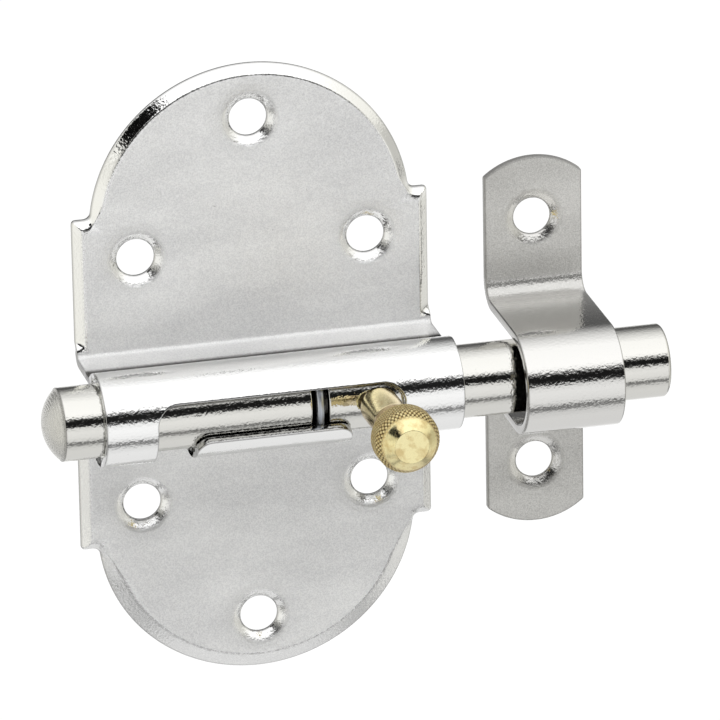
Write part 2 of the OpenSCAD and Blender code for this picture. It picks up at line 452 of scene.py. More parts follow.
def stand_in_for(piece: Piece, node: str, body: str) -> None:
    """Let a piece take over a CAD node.

    Args:
        piece: the new piece.
        node: the node that it replaces.
        body: the body that it rides on.
    """
    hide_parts(node)
    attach(piece, body)
    LOG.info("%s: %d faces, replaces %s", piece.name, len(piece.data.polygons), node)


def soft_step(value: float, softness: float) -> float:
    """Rise in a straight line from 0 and settle at 1 with a rounded shoulder.

    Args:
        value: how far along, where 1 would reach the top on a straight line.
        softness: half the length over which the shoulder is rounded.

    Returns:
        The height from 0 to 1.
    """
    if value <= 1 - softness:
        return max(value, 0.0)
    if value >= 1 + softness:
        return 1.0
    return value - (value - 1 + softness) ** 2 / (4 * softness)


def smooth(value: float) -> float:
    """Go from 0 to 1 with level ends."""
    value = min(max(value, 0.0), 1.0)
    return value * value * (3 - 2 * value)


def arc(
    centre: tuple[float, float], radius: float, start: float, end: float, pitch: float
) -> list[Vector]:
    """Points on an arc in the plane.

    Args:
        centre: the arc's centre.
        radius: its radius.
        start: first angle in degrees.
        end: last angle in degrees.
        pitch: longest step between points.

    Returns:
        The points, both ends among them.
    """
    count = max(2, math.ceil(abs(math.radians(end - start)) * radius / pitch))
    angles = [math.radians(start + (end - start) * i / count) for i in range(count + 1)]
    x, y = centre
    return [Vector((x + radius * math.cos(a), y + radius * math.sin(a))) for a in angles]


def closed_run(corners: Sequence[Vector], pitch: float) -> list[Vector]:
    """Fill the straight runs of a closed outline with points.

    Args:
        corners: the outline's points in order.
        pitch: longest step between points.

    Returns:
        The outline with no step longer than the pitch, and no point twice.
    """
    filled: list[Vector] = []
    for here, after in zip(corners, [*corners[1:], corners[0]]):
        length = (after - here).length
        if length < 1e-4:
            continue
        count = math.ceil(length / pitch)
        filled += [here.lerp(after, i / count) for i in range(count)]
    return filled


def search_tree(places: Pairs) -> KDTree:
    """Make a search tree.

    Args:
        places: the two coordinates of each point.

    Returns:
        The tree, ready to be searched.
    """
    tree = KDTree(len(places))
    for index, (across, up) in enumerate(places):
        tree.insert((across, up, 0.0), index)
    tree.balance()
    return tree


def distance(tree: KDTree, across: float, up: float) -> float:
    """Distance from the nearest point of a search tree."""
    return tree.find((across, up, 0.0))[2]


@dataclass
class FoldPath:
    """Outer face of a folded strip, seen along the bolt, from its front out to one flange.

    The strip runs round a ring, may bend back into a neck, runs straight to the wall and
    folds outwards into its flange.
    """

    ring_r: float
    ring_y: float
    leg_z: float
    neck_r: float
    fold_r: float
    face_y: float
    # lines of points across the ring, the neck, the leg and the fold, and past the fold
    bend_steps: tuple[int, int, int, int] = (26, 5, 12, 8)
    past_fold: tuple[float, float, float] = (0.5, 1.1, 1.8)

    def __post_init__(self) -> None:
        """Work out where each stretch ends."""
        reach = self.ring_r + self.neck_r
        rise = self.leg_z + self.neck_r
        back = math.sqrt(max(reach * reach - rise * rise, 0.0))
        self.necked = self.leg_z < self.ring_r
        self.wrap = math.pi - math.atan2(rise, back) if self.necked else math.pi / 2
        self.turn = self.wrap - math.pi / 2
        self.neck_y = self.ring_y + (back if self.necked else 0.0)
        self.ring_end = self.ring_r * self.wrap
        self.neck_end = self.ring_end + self.neck_r * self.turn
        self.fold_y = self.face_y - self.fold_r
        self.leg_end = self.neck_end + self.fold_y - self.neck_y
        self.fold_end = self.leg_end + self.fold_r * math.pi / 2
        self.flange_z = self.leg_z + self.fold_r

    def place(self, s: float) -> tuple[float, float]:
        """Give the outer face's place.

        Args:
            s: length along the strip from its front, positive upwards.

        Returns:
            The Y and Z there.
        """
        sign, s = (1.0, s) if s >= 0 else (-1.0, -s)
        if s <= self.ring_end:
            a = s / self.ring_r
            y, z = self.ring_y - self.ring_r * math.cos(a), self.ring_r * math.sin(a)
        elif s <= self.neck_end:
            a = self.turn - (s - self.ring_end) / self.neck_r
            y = self.neck_y - self.neck_r * math.sin(a)
            z = self.leg_z + self.neck_r - self.neck_r * math.cos(a)
        elif s <= self.leg_end:
            y, z = self.neck_y + s - self.neck_end, self.leg_z
        elif s <= self.fold_end:
            a = (s - self.leg_end) / self.fold_r
            y = self.fold_y + self.fold_r * math.sin(a)
            z = self.flange_z - self.fold_r * math.cos(a)
        else:
            y, z = self.face_y, self.flange_z + s - self.fold_end
        return y, sign * z

    def flat(self, z: float) -> float:
        """Length along the strip at a height on the flange."""
        return math.copysign(abs(z) - self.flange_z + self.fold_end, z)

    def on_ring(self, z: float) -> float:
        """Length along the strip at a height on the front of the ring."""
        return self.ring_r * math.asin(z / self.ring_r)

    def bend_lines(self) -> list[float]:
        """Find the lengths at which the bends need a line of points.

        Returns:
            Lengths along the strip, on the upper half.
        """
        lines, start = [0.0], 0.0
        ends = (self.ring_end, self.neck_end, self.leg_end, self.fold_end)
        for end, count in zip(ends, self.bend_steps):
            lines += [start + (end - start) * i / count for i in range(1, count)] + [end]
            start = end
        return lines + [self.fold_end + past for past in self.past_fold]


@dataclass(frozen=True)
class SunkHole:
    """A screw hole whose rim dips towards the wall."""

    x: float
    z: float
    clear_r: float
    sink_r: float
    depth: float
    curve: float
    drawn_in: float

    def dip(self, x: float, z: float) -> float:
        """Find the depth of the dip: a cone at a curve of 1, a dish above it.

        Args:
            x: place along the bolt.
            z: height on the face.

        Returns:
            The depth there.
        """
        away = math.hypot(x - self.x, z - self.z)
        part = (away - self.clear_r) / (self.sink_r - self.clear_r)
        return self.depth * (1 - min(max(part, 0.0), 1.0)) ** self.curve + self.drawn_in * (
            1 - smooth((away - self.sink_r + 0.5) / 2.2)
        )


@dataclass
class FoldedStrip:
    """A blank cut from sheet, pressed and folded; the plate and the keeper are each one.

    The blank is laid out flat, by place along the bolt and length along the strip. The rim's
    width, drop and polish are given by height on the flange.
    """

    path: FoldPath
    thickness: float
    edge_round: float
    outline: list[Vector]
    window: list[Vector]
    holes: list[SunkHole]
    rim_width: Callable[[float], float]
    rim_drop: Callable[[float], float]
    rim_polish: Callable[[float], float]
    leg_satin: float
    centre_x: float = 0.0
    # how far inside each cut edge a row of points lies, and the pitch of the others
    edge_row: float = 0.3
    tree_pitch: float = 0.12
    bend_pitch: float = 1.1
    grid_pitch: float = 2.0
    hole_steps: int = 72
    # distance of the grid from the fold and from a dish, and from an edge in rim widths
    grid_room: tuple[float, float, float] = (2.2, 1.7, 1.8)
    # a face on the cut edges with less than this area is a sliver, and an edge is rounded
    # where its faces meet at more than this angle
    sliver: float = 0.002
    sharp_deg: float = 35.0
    # in rim widths: how softly the rim meets the field, and how soon its polish ends
    rim_soft: float = 0.2
    polish_fade: float = 0.25
    # polish in the dishes, and how far it reaches
    dish_polish: tuple[float, float] = (0.9, 0.9)
    # painted shade: level, middle and reach, in rim widths, of the dark line inside the upper rim
    rim_line: tuple[float, float, float] = (0.55, 1.12, 0.18)
    # painted shade: middle and reach in the neck's crease, in neck lengths, then level, start and
    # fade on the leg where the barrel hides it
    neck_shade: tuple[float, float] = (0.6, 1.7)
    leg_shade: tuple[float, float, float] = (0.95, 1.6, 1.5)
    # level of painted shade along the cut edges
    cut_edge_shade: float = 0.5
    # least distance from a cut edge of the points of a row, a bend and a rim
    least_room: tuple[float, float, float] = (0.22, 0.5, 0.42)
    # rows of points, as parts of a dish's and a rim's width
    dish_rows: tuple[float, ...] = (0.3, 0.45, 0.6, 0.75, 0.88, 0.96, 1.04, 1.13, 1.4, 1.7)
    rim_rows: tuple[float, ...] = (0.38, 0.52, 0.66, 0.78, 0.88, 0.96, 1.04, 1.12, 1.25, 1.5)

    def half_width(self) -> float:
        """Half of the blank's width."""
        return max(abs(p.x - self.centre_x) for p in self.outline)

    def on_flange(self, s: float) -> bool:
        """Whether a length along the strip lies on a flange."""
        return abs(s) >= self.path.fold_end - 1e-6

    def rim_tree(self) -> KDTree:
        """Search tree of the flanges' edges, packed closely, by X and height."""
        close = [p for p in closed_run(self.outline, self.tree_pitch) if self.on_flange(p.y)]
        return search_tree([(p.x, self.path.place(p.y)[1]) for p in close])

    def circle(self, hole: SunkHole, radius: float) -> list[Vector]:
        """Draw a circle round a hole.

        Args:
            hole: the hole.
            radius: the circle's radius.

        Returns:
            The circle's points on the flat blank.
        """
        turns = [math.tau * i / self.hole_steps for i in range(self.hole_steps)]
        ring = [(hole.x + radius * math.cos(a), hole.z + radius * math.sin(a)) for a in turns]
        return [Vector((x, self.path.flat(z))) for x, z in ring]

    def cut_loops(self) -> list[tuple[list[Vector], int]]:
        """List the cut loops of the blank.

        Returns:
            Each loop, with 1 if its inside is metal and -1 if its outside is.
        """
        loops = [(self.outline, 1)]
        if self.window:
            loops.append((self.window, -1))
        return loops + [(self.circle(hole, hole.clear_r), -1) for hole in self.holes]

    def blank_points(self, tree: KDTree) -> tuple[list[Vector], list[tuple[int, int]]]:
        """Lay out the flat blank's points and cut edges.

        Args:
            tree: search tree of the flanges' edges.

        Returns:
            The points, those of the cut edges first, and the edges that the cut must follow.
        """
        points: list[Vector] = []
        edges: list[tuple[int, int]] = []
        rows: list[Vector] = []
        for loop, side in self.cut_loops():
            first = len(points)
            points += loop
            edges += [(first + i, first + (i + 1) % len(loop)) for i in range(len(loop))]
            for before, here, after in zip([loop[-1], *loop[:-1]], loop, [*loop[1:], loop[0]]):
                along = (after - before).normalized()
                rows.append(here + Vector((-along.y, along.x)) * side * self.edge_row)
        cut = search_tree([(p.x, p.y) for p in points])
        row_room, bend_room, rim_room = self.least_room
        points += [p for p in rows if distance(cut, p.x, p.y) > row_room]
        points += [p for p in self.bend_points() if distance(cut, p.x, p.y) > bend_room]
        for hole in self.holes:
            for part in self.dish_rows:
                points += self.circle(hole, hole.clear_r + (hole.sink_r - hole.clear_r) * part)
        points += [p for p in self.rim_points(tree) if distance(cut, p.x, p.y) > rim_room]
        return points + self.field_points(tree), edges

    def bend_points(self) -> list[Vector]:
        """Lay lines of points along the bends.

        Returns:
            The points on the flat blank.
        """
        half = self.half_width()
        count = round(2 * half / self.bend_pitch)
        across = [self.centre_x - half + 2 * half * i / count for i in range(1, count)]
        lines = [side * s for s in self.path.bend_lines() for side in ((1, -1) if s > 0 else (1,))]
        return [Vector((x, s)) for s in lines for x in across]

    def rim_points(self, tree: KDTree) -> list[Vector]:
        """Lay rows of points along the flanges' rims.

        Args:
            tree: search tree of the flanges' edges.

        Returns:
            The points on the flat blank.
        """
        points: list[Vector] = []
        for here, after in zip(self.outline, [*self.outline[1:], self.outline[0]]):
            if not (self.on_flange(here.y) and self.on_flange(after.y)):
                continue
            along = (after - here).normalized()
            width = self.rim_width(self.path.place(here.y)[1])
            for part in self.rim_rows:
                point = (here + after) / 2 + Vector((-along.y, along.x)) * part * width
                if not self.on_flange(point.y):
                    continue
                # another stretch of the edge may lie closer
                if distance(tree, point.x, self.path.place(point.y)[1]) > part * width * 0.96:
                    points.append(point)
        return points

    def field_points(self, tree: KDTree) -> list[Vector]:
        """Lay a square grid of points over the flanges, clear of rims, folds and holes.

        Args:
            tree: search tree of the flanges' edges.

        Returns:
            The points on the flat blank.
        """
        points: list[Vector] = []
        half = self.half_width()
        fold_room, dish_room, edge_room = self.grid_room
        steps = [i * self.grid_pitch for i in range(-30, 31)]
        for x, z in itertools.product((self.centre_x + step for step in steps), steps):
            if abs(z) < self.path.flange_z + fold_room or abs(x - self.centre_x) > half:
                continue
            if distance(tree, x, z) < self.rim_width(z) * edge_room:
                continue
            if not self.is_metal(x, self.path.flat(z)):
                continue
            if all(math.hypot(x - h.x, z - h.z) > h.sink_r + dish_room for h in self.holes):
                points.append(Vector((x, self.path.flat(z))))
        return points

    def is_metal(self, x: float, s: float) -> bool:
        """Tell metal from cut-out.

        Args:
            x: place along the bolt.
            s: length along the strip.

        Returns:
            Whether that place on the blank is metal.
        """
        if not self.within(self.outline, x, s) or (self.window and self.within(self.window, x, s)):
            return False
        if not self.on_flange(s):
            return True
        z = self.path.place(s)[1]
        return all(math.hypot(x - h.x, z - h.z) > h.clear_r for h in self.holes)

    @staticmethod
    def within(loop: Sequence[Vector], x: float, s: float) -> bool:
        """Tell the inside of a closed loop from its outside.

        Args:
            loop: the loop's points in order.
            x: place along the bolt.
            s: length along the strip.

        Returns:
            Whether that place lies inside.
        """
        odd = False
        for here, after in zip(loop, [*loop[1:], loop[0]]):
            if (here.y > s) != (after.y > s):
                if x < here.x + (s - here.y) * (after.x - here.x) / (after.y - here.y):
                    odd = not odd
        return odd

    def press(self, vert: bmesh.types.BMVert, tree: KDTree, polish: Layer, hollow: Layer) -> None:
        """Move one point of the flat blank to its place on the folded strip.

        Args:
            vert: the point.
            tree: search tree of the flanges' edges.
            polish: layer that says how polished the point is.
            hollow: layer that says how much painted shade the point holds.
        """
        path = self.path
        x, s = vert.co.x, vert.co.z
        y, z = path.place(s)
        if self.on_flange(s):
            part = distance(tree, x, z) / self.rim_width(z)
            dip = max(hole.dip(x, z) for hole in self.holes)
            y += self.rim_drop(z) * (1 - soft_step(part, self.rim_soft)) + dip
            # painted shade: a dark line just inside the upper rim
            if path.necked and z > 0:
                level, middle, reach = self.rim_line
                vert[hollow] = level * max(0.0, 1.0 - abs(part - middle) / reach)
            nearest = min(math.hypot(x - h.x, z - h.z) - h.clear_r for h in self.holes)
            pressed = self.rim_polish(z) * (1 - min(max((part - 1.0) / self.polish_fade, 0.0), 1.0))
            level, reach = self.dish_polish
            vert[polish] = max(pressed, level * (1 - smooth((nearest - reach) / reach)))
        else:
            leg = (abs(s) - path.neck_end) / (path.fold_end - path.neck_end)
            vert[polish] = 1 - smooth(leg * self.leg_satin * 2) * self.leg_satin
        # painted shade in the neck's crease and on the start of the leg, which the barrel hides
        if path.necked:
            neck = (abs(s) - path.ring_end) / (path.neck_end - path.ring_end)
            middle, reach = self.neck_shade
            vert[hollow] += max(0.0, 1.0 - abs(neck - middle) / reach)
            if neck > middle:
                level, start, fade = self.leg_shade
                vert[hollow] = level * (1 - smooth((abs(s) - path.neck_end - start) / fade))
        vert.co = Vector((x, y, z))

    def build(self) -> Mesh:
        """Cut the blank, press it, fold it, give it its thickness and round its cut edges.

        Returns:
            The finished strip in millimetres.
        """
        tree = self.rim_tree()
        points, edges = self.blank_points(tree)
        flat_points, _, faces, origins, *_ = delaunay_2d_cdt(points, edges, [], 0, 1e-4)
        on_cut = [any(i < len(edges) for i in group) for group in origins]
        bm = bmesh.new()
        polish = bm.verts.layers.float.new("polish")
        hollow = bm.verts.layers.float.new("hollow")
        cut = bm.verts.layers.int.new("cut")
        front = bm.verts.layers.float_vector.new("front")
        verts = [bm.verts.new((p.x, 0.0, p.y)) for p in flat_points]
        for face in faces:
            a, b, c = (flat_points[i] for i in face)
            if all(on_cut[i] for i in face) and abs((b - a).cross(c - a)) < 2 * self.sliver:
                continue
            middle = (a + b + c) / 3
            if self.is_metal(middle.x, middle.y):
                bm.faces.new([verts[i] for i in face])
        bmesh.ops.delete(bm, geom=[v for v in bm.verts if not v.link_faces], context="VERTS")
        for vert in bm.verts:
            vert[cut] = int(vert.is_boundary)
            self.press(vert, tree, polish, hollow)
            # painted shade along the cut edges
            vert[hollow] = max(vert[hollow], self.cut_edge_shade * vert[cut])
            vert[front] = vert.co
        bm.normal_update()
        flat = [f for f in bm.faces if abs(f.calc_center_median().z) > self.path.flange_z]
        if sum(face.normal.y for face in flat) > 0:
            bmesh.ops.reverse_faces(bm, faces=bm.faces)
        bmesh.ops.solidify(bm, geom=bm.faces[:], thickness=self.thickness)
        for vert in bm.verts:
            vert.co.y = min(vert.co.y, 0.0)
            if vert[cut] and abs(vert[front].z) > self.path.flange_z:
                # the flanges' edges are cut square to the wall
                vert.co.x, vert.co.z = vert[front].x, vert[front].z
        bm.normal_update()
        rim = [e for e in bm.edges if all(vert[cut] for vert in e.verts)]
        sharp = [e for e in rim if e.calc_face_angle(0.0) > math.radians(self.sharp_deg)]
        bmesh.ops.bevel(
            bm, geom=sharp, offset=self.edge_round, offset_type="OFFSET", segments=2, profile=0.5,
            affect="EDGES", clamp_overlap=False, material=-1,
        )
        for vert in bm.verts:
            vert.co.y = min(vert.co.y, 0.0)
        bmesh.ops.recalc_face_normals(bm, faces=bm.faces)
        return bm


@dataclass
class BarrelPlate:
    """The pressed plate with rounded ends, folded between its two fields into the barrel."""

    half_w: float = 29.5
    band_z: float = 28.5
    end_r: float = 26.58
    end_z: float = 25.8
    shoulder_r: float = 1.2
    corner_r: float = 0.7
    field_h: float = 1.9
    rim_foot: float = 0.4
    rim_w: float = 1.6
    low_rim_w: float = 2.6
    thickness: float = 1.3
    hole_r: float = 3.1
    sink_r: float = 4.95
    sink_depth: float = 1.15
    dish_curve: float = 1.25
    drawn_in: float = 0.28
    # across and height of the holes in one half
    hole_places: tuple[tuple[float, float], ...] = ((0, 43.2), (19.1, 21.2), (-19.1, 21.2))
    edge_round: float = 0.1
    rim_from: float = 6.5
    window_x: tuple[float, float] = (-21.0, 19.6)
    notch_w: tuple[float, float] = (6.6, 8.3)
    slot_z: tuple[float, float] = (-3.2, 3.8)
    notch_end: float = -15.0

    def path(self) -> FoldPath:
        """Set out the section of the fold between the fields.

        Returns:
            The section's outer face.
        """
        return FoldPath(
            ring_r=7.6, ring_y=-AXIS_OUT, leg_z=5.4, neck_r=0.9, fold_r=1.0, face_y=-self.field_h
        )

    def outline(self, path: FoldPath) -> list[Vector]:
        """Draw the outer cut of the blank.

        Args:
            path: section of the fold.

        Returns:
            The cut's points in order, on the flat blank.
        """
        fillet_z = self.band_z + self.shoulder_r
        reach = self.end_r + self.shoulder_r
        fillet_x = math.sqrt(reach**2 - (fillet_z - self.end_z) ** 2)
        lean = math.degrees(math.atan2(fillet_z - self.end_z, fillet_x))
        corner = (self.half_w - self.corner_r, self.band_z - self.corner_r)
        quarter = arc(corner, self.corner_r, 0, 90, 0.3)
        quarter += arc((fillet_x, fillet_z), self.shoulder_r, -90, -180 + lean, 0.3)
        quarter += arc((0, self.end_z), self.end_r, lean, 90, 0.5)
        flat = [Vector((self.half_w, s)) for s in path.bend_lines()]
        flat += [Vector((p.x, path.flat(p.y))) for p in quarter]
        upper = flat + [Vector((-p.x, p.y)) for p in reversed(flat)]
        return closed_run(upper + [-p for p in upper], 0.5)

    def window(self, path: FoldPath) -> list[Vector]:
        """Draw the cut of the window, its notches and the lip between them.

        Args:
            path: section of the fold.

        Returns:
            The cut's points in order, on the flat blank.
        """
        left, right = self.window_x
        low, high = self.slot_z
        lip_left, lip_right = left + self.notch_w[0], right - self.notch_w[1]
        top_r, lip_r, end_r = 3.4, 2.4, 1.2
        upper = arc((right - top_r, high - top_r), top_r, 0, 90, 0.4)
        upper += arc((left + top_r, high - top_r), top_r, 90, 180, 0.4)
        lip = arc((lip_left + lip_r, low - lip_r), lip_r, 180, 90, 0.4)
        lip += arc((lip_right - lip_r, low - lip_r), lip_r, 90, 0, 0.4)

        def notch(a: float, b: float) -> list[Vector]:
            """Draw the rounded end of one notch.

            Args:
                a: place of its left side.
                b: place of its right side.

            Returns:
                The end's points, from left to right.
            """
            level = self.notch_end + end_r
            first = arc((a + end_r, level), end_r, 180, 270, 0.4)
            return first + arc((b - end_r, level), end_r, 270, 360, 0.4)

        on_ring = [Vector((p.x, path.on_ring(p.y))) for p in upper]
        on_lip = [Vector((p.x, path.on_ring(p.y))) for p in lip]
        ends = notch(left, lip_left), notch(lip_right, right)
        return closed_run([*on_ring, *ends[0], *on_lip, *ends[1]], 0.45)

    def rim_width(self, z: float) -> float:
        """Width of the sloping rim at a height: wider at the lower end, narrow at the shoulders."""
        width = self.rim_w + (self.low_rim_w - self.rim_w) * smooth((-z - 30.0) / 5.0)
        return width * (1 - 0.5 * math.exp(-(((abs(z) - self.band_z - 0.3) / 1.3) ** 2)))

    def make(self, finish: Material) -> Piece:
        """Build the plate.

        Args:
            finish: its material.

        Returns:
            The finished piece.
        """
        path = self.path()
        dish = (self.hole_r, self.sink_r, self.sink_depth, self.dish_curve, self.drawn_in)
        holes = [SunkHole(x, side * z, *dish) for side in (1, -1) for x, z in self.hole_places]
        drop = self.field_h - self.rim_foot
        strip = FoldedStrip(
            path, self.thickness, self.edge_round, self.outline(path), self.window(path), holes,
            rim_width=self.rim_width,
            rim_drop=lambda z: drop * smooth((abs(z) - self.rim_from) / 1.5),
            rim_polish=lambda z: 1.0 if z > 0 else 0.55,
            leg_satin=1.0,
        )
        return new_piece("pressed_plate", strip.build(), finish)


@dataclass
class Keeper:
    """The strap bent into a loop over the bolt's nose."""

    centre_x: float = 47.1
    half_w: float = 8.15
    half_h: float = 31.8
    end_r: float = 12.6
    thickness: float = 1.5
    loop_r: float = 8.5
    edge_round: float = 0.2
    hole_z: float = 21.3
    # clear radius, dish radius, depth, curve and how far the strap is drawn in round it
    dish: tuple[float, float, float, float, float] = (3.05, 5.0, 1.0, 1.2, 0.08)

    def make(self, finish: Material) -> Piece:
        """Build the keeper.

        Args:
            finish: its material.

        Returns:
            The finished piece.
        """
        path = FoldPath(
            ring_r=self.loop_r, ring_y=-(AXIS_OUT + 3.0), leg_z=self.loop_r, neck_r=0.001,
            fold_r=3.0, face_y=-self.thickness,
        )
        lean = math.degrees(math.acos(self.half_w / self.end_r))
        end = arc((0.0, self.half_h - self.end_r), self.end_r, lean, 180 - lean, 0.5)
        side = [Vector((self.half_w, s)) for s in path.bend_lines()]
        upper = side + [Vector((p.x, path.flat(p.y))) for p in end]
        upper += [Vector((-p.x, p.y)) for p in reversed(side)]
        middle = Vector((self.centre_x, 0))
        outline = closed_run([p + middle for p in upper + [-p for p in upper]], 0.5)
        holes = [SunkHole(self.centre_x, z, *self.dish) for z in (self.hole_z, -self.hole_z)]
        strip = FoldedStrip(
            path, self.thickness, self.edge_round, outline, [], holes,
            rim_width=lambda z: 0.9, rim_drop=lambda z: 0.0, rim_polish=lambda z: 0.0,
            leg_satin=0.5, centre_x=self.centre_x,
        )
        return new_piece("strap_keeper", strip.build(), finish)


def turned(profile: Pairs, steps: int) -> Mesh:
    """Turn a profile about the X axis.

    Args:
        profile: place along X and radius of each point.
        steps: faces round the axis.

    Returns:
        The turned shape, with its normals outwards.
    """
    bm = bmesh.new()
    verts = [bm.verts.new((x, 0.0, r)) for x, r in profile]
    edges = [bm.edges.new(pair) for pair in zip(verts, verts[1:])]
    bmesh.ops.spin(
        bm, geom=verts + edges, cent=(0, 0, 0), axis=(1, 0, 0), angle=math.tau, steps=steps,
        use_merge=True,
    )
    bmesh.ops.remove_doubles(bm, verts=bm.verts, dist=1e-5)
    bmesh.ops.recalc_face_normals(bm, faces=bm.faces)
    return bm


def dense(profile: Pairs, pitch: float) -> list[tuple[float, float]]:
    """Put more points along a profile.

    Args:
        profile: place along X and radius of each point.
        pitch: longest step between points.

    Returns:
        The profile with no step longer than the pitch.
    """
    filled = [profile[0]]
    for (x0, r0), (x1, r1) in zip(profile, profile[1:]):
        count = max(1, math.ceil(math.hypot(x1 - x0, r1 - r0) / pitch))
        parts = [i / count for i in range(1, count + 1)]
        filled += [(x0 + (x1 - x0) * part, r0 + (r1 - r0) * part) for part in parts]
    return filled


@dataclass
class BoltRod:
    """The round bolt with a domed tail, a nearly flat nose and a groove for the spring ring."""

    radius: float = 6.0
    tail_x: float = -35.9
    nose_x: float = 64.55
    tail_dome: float = 2.598
    nose_dome: float = 0.798
    groove_x: float = 6.0
    groove_w: float = 2.8
    groove_r: float = 4.7
    edge: float = 0.18

    def dome(self, base_r: float, height: float, x: float, sign: int) -> list[tuple[float, float]]:
        """Profile of a domed end, from its tip outwards.

        Args:
            base_r: radius of its base.
            height: its height.
            x: place of its base.
            sign: 1 for the nose, -1 for the tail.

        Returns:
            Place along X and radius of each point.
        """
        ball = (base_r**2 + height**2) / (2 * height)
        spread = math.asin(base_r / ball)
        angles = [spread * i / 14 for i in range(15)]
        low = height - ball
        return [(x + sign * (low + ball * math.cos(a)), ball * math.sin(a)) for a in angles]

    def make(self, finish: Material) -> Piece:
        """Build the rod.

        Args:
            finish: its material.

        Returns:
            The finished piece.
        """
        r, edge = self.radius, self.edge
        left, right = self.groove_x - self.groove_w / 2, self.groove_x + self.groove_w / 2
        tail = self.dome(r - 0.2, self.tail_dome, self.tail_x, -1)
        nose = self.dome(r - 0.7, self.nose_dome, self.nose_x, 1)

        def corner(x: float) -> list[tuple[float, float]]:
            """Rounded outer edge that rises from a face at a place, then a narrow band."""
            outer = x + edge
            return [(x, r - edge), (x + edge * 0.3, r - edge * 0.3), (outer, r), (outer + 0.1, r)]

        def mirrored(x: float) -> list[tuple[float, float]]:
            """The same edge, falling towards a face at a place."""
            return [(2 * x - px, pr) for px, pr in reversed(corner(x))]

        # the narrow band beside each rounded edge keeps the shading of the long faces even
        profile = [
            *tail, *corner(self.tail_x), *mirrored(left), (left, r - edge - 0.1),
            (left, self.groove_r + 0.05), (left + 0.05, self.groove_r),
            (right - 0.05, self.groove_r), (right, self.groove_r + 0.05),
            (right, r - edge - 0.1), *corner(right),
            (self.nose_x - 0.65, r), (self.nose_x - 0.55, r), (self.nose_x - 0.4, r - 0.04),
            (self.nose_x - 0.15, r - 0.22), (self.nose_x, r - 0.5), *reversed(nose),
        ]
        bm = turned(profile, 128)
        polish = bm.verts.layers.float.new("polish")
        hollow = bm.verts.layers.float.new("hollow")
        for vert in bm.verts:
            x = vert.co.x
            deep = math.hypot(vert.co.y, vert.co.z) < r - 0.1 and left - 0.1 < x < right + 0.1
            on_end = not self.tail_x + 0.1 < x < self.nose_x - 0.1
            rim = min(abs(x - self.tail_x), abs(x - self.nose_x)) < 0.2
            # painted shade: dark in the groove, along the domed ends' edges and faintly over the
            # domes
            vert[hollow] = 0.92 if deep else 0.45 if rim else 0.1 if on_end else 0.0
            vert[polish] = 0.45 if on_end else 1.0
        bmesh.ops.translate(bm, vec=(0, -AXIS_OUT, 0), verts=bm.verts)
        return new_piece("round_bolt", bm, finish)


@dataclass
class SpringRing:
    """The split ring of round wire in the bolt's groove."""

    x: float = 6.0
    wire_r: float = 0.675
    middle_r: float = 5.525
    open_deg: float = 50.0

    def make(self, finish: Material) -> Piece:
        """Build the ring.

        Args:
            finish: its material.

        Returns:
            The finished piece.
        """
        bm = bmesh.new()
        made = bmesh.ops.create_circle(bm, cap_ends=True, radius=self.wire_r, segments=20)
        upright = Matrix.Rotation(math.pi / 2, 3, "X")
        bmesh.ops.rotate(bm, verts=made["verts"], cent=(0, 0, 0), matrix=upright)
        bmesh.ops.translate(bm, verts=made["verts"], vec=(self.x, 0, -self.middle_r))
        start = math.radians(self.open_deg / 2)
        # the gap faces straight down, out of the window's sight
        first = Matrix.Rotation(start, 3, "X")
        bmesh.ops.rotate(bm, verts=bm.verts, cent=(0, 0, 0), matrix=first)
        bmesh.ops.spin(
            bm, geom=bm.verts[:] + bm.edges[:] + bm.faces[:], cent=(0, 0, 0), axis=(1, 0, 0),
            angle=2 * math.pi - 2 * start, steps=90,
        )
        bmesh.ops.remove_doubles(bm, verts=bm.verts, dist=1e-5)
        bmesh.ops.recalc_face_normals(bm, faces=bm.faces)
        bmesh.ops.translate(bm, vec=(0, -AXIS_OUT, 0), verts=bm.verts)
        return new_piece("wire_ring", bm, finish)


